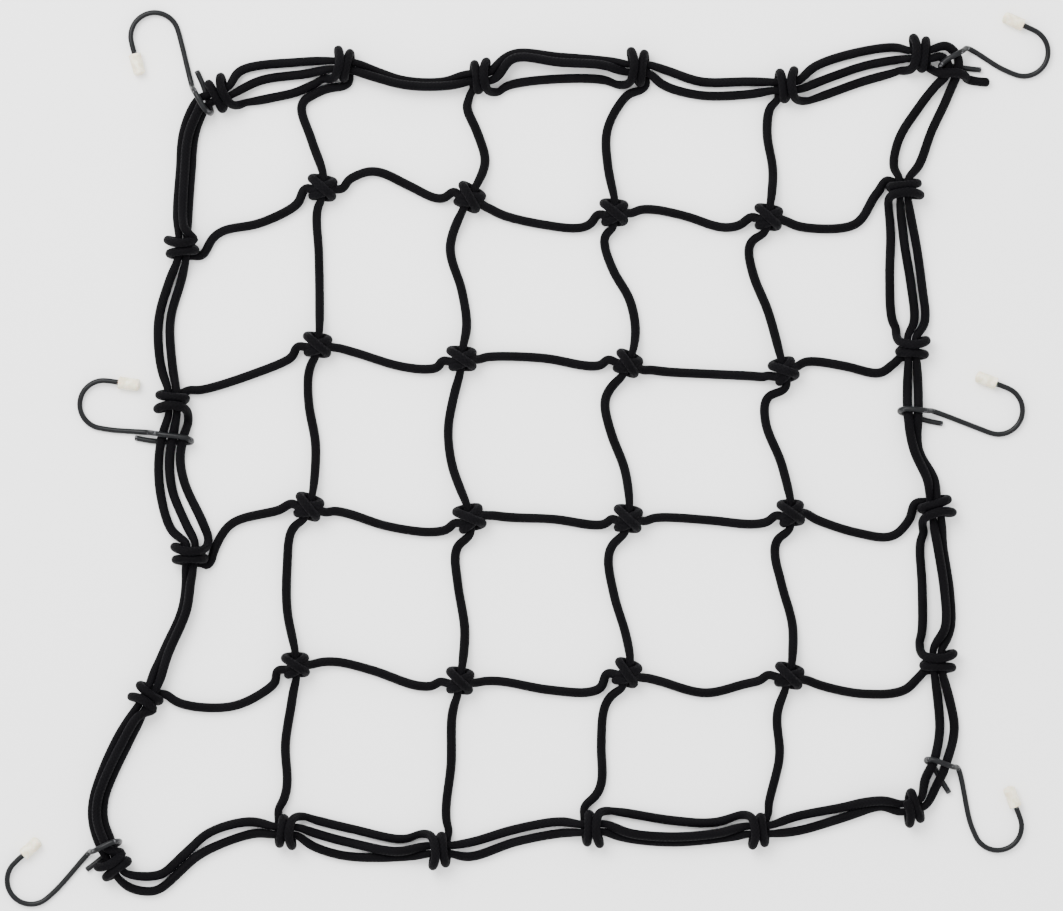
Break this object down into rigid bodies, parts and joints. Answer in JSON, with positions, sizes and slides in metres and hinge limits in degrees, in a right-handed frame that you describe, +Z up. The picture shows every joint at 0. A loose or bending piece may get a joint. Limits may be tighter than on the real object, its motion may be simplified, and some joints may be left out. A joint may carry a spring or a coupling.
{
  "type": "cargo net",
  "caption": "Square net of knotted black elastic cord with a doubled border, a free cut end, and black wire hooks with cream tips.",
  "frame": {"origin": "middle of the underside of the net as it lies", "axes": "+Z up, +Y towards the row of the net that ends in the free cord end, +X along that row"},
  "size_m": [0.5328, 0.4567, 0.0167],
  "materials": {
    "cord": "matt braided sheath",
    "wire": "black paint, satin",
    "tip": "moulded, slightly translucent"
  },
  "bodies": {
    "root": {"border_bottom_inner": "cord", "border_bottom_outer": "cord", "border_left_inner": "cord", "border_left_outer": "cord", "border_right_inner": "cord", "border_right_outer": "cord", "border_top_inner": "cord", "border_top_outer": "cord", "corner_knot": "cord", "cross_cord_1": "cord", "cross_cord_2": "cord", "cross_cord_3": "cord", "cross_cord_4": "cord", "cross_cord_end": "cord", "hook_left_bottom": "wire", "hook_left_middle": "wire", "hook_left_top": "wire", "hook_right_bottom": "wire", "hook_right_middle": "wire", "hook_right_top": "wire", "long_cord_1": "cord", "long_cord_2": "cord", "long_cord_3": "cord", "long_cord_4": "cord", "long_cord_end": "cord", "tip_left_bottom": "tip", "tip_left_middle": "tip", "tip_left_top": "tip", "tip_right_bottom": "tip", "tip_right_middle": "tip", "tip_right_top": "tip"}
  },
  "joints": []
}
